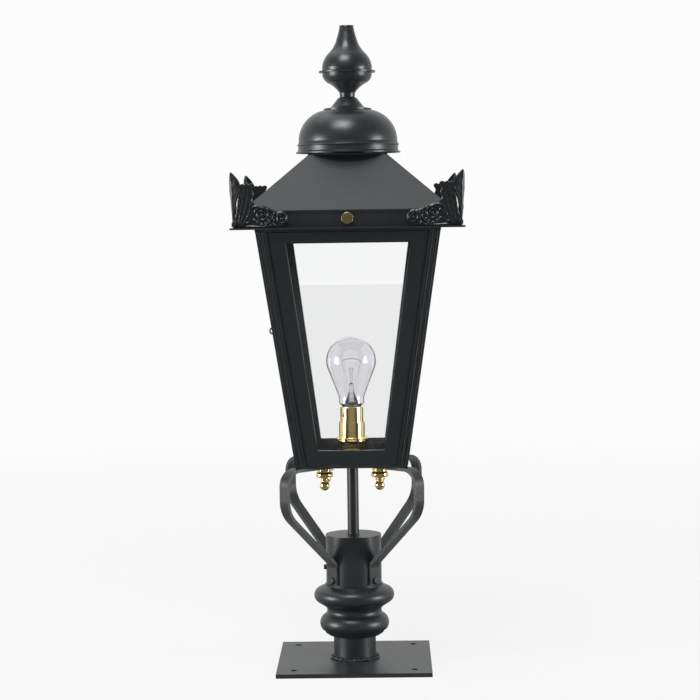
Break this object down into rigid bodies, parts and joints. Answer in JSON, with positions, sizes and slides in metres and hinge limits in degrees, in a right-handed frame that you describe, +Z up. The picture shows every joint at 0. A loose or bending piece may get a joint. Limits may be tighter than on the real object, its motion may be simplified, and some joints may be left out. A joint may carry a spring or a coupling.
{
  "type": "post top lantern",
  "caption": "Four-sided tapered glazed lantern on a bolt-down pedestal, with bent arms, hinged gallery roof with leaf corners, vented dome and turned finial.",
  "frame": {"origin": "centre of the base plate's underside", "axes": "+Z up along the conduit, -Y out of the side with the brass roof screw, +X to its right"},
  "size_m": [0.268, 0.268, 0.7662],
  "materials": {
    "plate_black": "satin black powder coat on steel plate and tube",
    "casting_black": "satin black coat on a turned casting",
    "arm_black": "satin black powder coat on flat bar",
    "body_black": "satin black powder coat on frames and bars",
    "roof_black": "satin black powder coat on sheet",
    "ornament_black": "satin black coat on cast leaf ornament",
    "finial_black": "satin black coat on spun and turned metal",
    "fastener_black": "black coated steel",
    "conduit_black": "black coated steel tube",
    "zinc_steel": "zinc plated steel",
    "polished_brass": "polished turned brass",
    "screw_brass": "dull turned brass",
    "pane_glass": "clear flat glass",
    "lamp_glass": "clear blown glass",
    "lamp_metal": "satin aluminium cap",
    "filament_metal": "fine lead wire and filament",
    "white_ceramic": "glazed white ceramic",
    "contact_glass": "dark fused glass insulator"
  },
  "bodies": {
    "pedestal": {"arm_bolts": "fastener_black", "base_pan": "body_black", "base_plate": "plate_black", "base_weld_bead": "plate_black", "body_screws": "zinc_steel", "brass_drops": "polished_brass", "conduit_lock_nuts": "zinc_steel", "conduit_tube": "conduit_black", "corner_bars": "body_black", "door_catch_stud": "zinc_steel", "drop_studs_and_nuts": "zinc_steel", "fixed_hinge_leaves": "fastener_black", "frog_arms": "arm_black", "glass_panes": "pane_glass", "glazing_frame_back": "body_black", "glazing_frame_front": "body_black", "glazing_frame_right": "body_black", "hinge_pins": "zinc_steel", "knuckle_casting": "casting_black", "lampholder_barrel": "polished_brass", "lampholder_cap": "polished_brass", "lampholder_insulator": "white_ceramic", "lampholder_ring": "polished_brass", "lampholder_sleeve": "polished_brass", "pane_clips": "zinc_steel", "pedestal_tube": "plate_black", "plunger_springs": "zinc_steel", "post_socket": "casting_black", "socket_cap": "casting_black", "socket_set_screws": "zinc_steel", "top_frame": "body_black"},
    "door": {"door_frame": "body_black", "door_pane": "pane_glass", "door_pane_clips": "zinc_steel", "door_pull_loop": "body_black", "door_hinge_leaves": "fastener_black"},
    "lamp": {"lamp_cap": "lamp_metal", "lamp_contact_plate": "contact_glass", "lamp_envelope": "lamp_glass", "lamp_stem": "lamp_glass", "lamp_filament": "filament_metal"},
    "roof": {"gallery_lip": "roof_black", "gallery_band": "roof_black", "screw_bush": "screw_brass", "roof_sheets": "roof_black", "corner_ornaments": "ornament_black", "ornament_screws": "fastener_black", "vent_collar": "roof_black", "dome": "roof_black", "dome_strap": "roof_black", "dome_spacer": "zinc_steel", "tie_rod_and_nut": "zinc_steel", "finial_base": "finial_black", "finial_bowl": "finial_black", "finial_disc": "finial_black", "finial_bulb": "finial_black", "roof_hinge_leaves": "fastener_black"},
    "roof_screw": {"roof_screw": "screw_brass"},
    "plunger_left": {"plunger_left": "screw_brass"},
    "plunger_right": {"plunger_right": "screw_brass"}
  },
  "joints": [
    {"name": "roof_hinge", "type": "hinge", "parent": "pedestal", "child": "roof", "pos_m": [0, 0.1115, 0.523], "axis": [-1, 0, 0], "range_deg": [0, 80]},
    {"name": "door_hinge", "type": "hinge", "parent": "pedestal", "child": "door", "pos_m": [-0.06897, 0.0527, 0.24357], "axis": [0.1424, -0.1424, -0.9795], "range_deg": [0, 110]},
    {"name": "lamp_lift", "type": "slide", "parent": "pedestal", "child": "lamp", "axis": [0, 0, 1], "range_m": [0, 0.045]},
    {"name": "plunger_left_press", "type": "slide", "parent": "pedestal", "child": "plunger_left", "axis": [0, 0, 1], "range_m": [-0.002, 0], "stiffness_N_per_m": 400},
    {"name": "plunger_right_press", "type": "slide", "parent": "pedestal", "child": "plunger_right", "axis": [0, 0, 1], "range_m": [-0.002, 0], "stiffness_N_per_m": 400},
    {"name": "roof_screw_turn", "type": "hinge", "parent": "roof", "child": "roof_screw", "pos_m": [0, -0.1246, 0.53815], "axis": [0, -1, 0], "continuous": true}
  ]
}
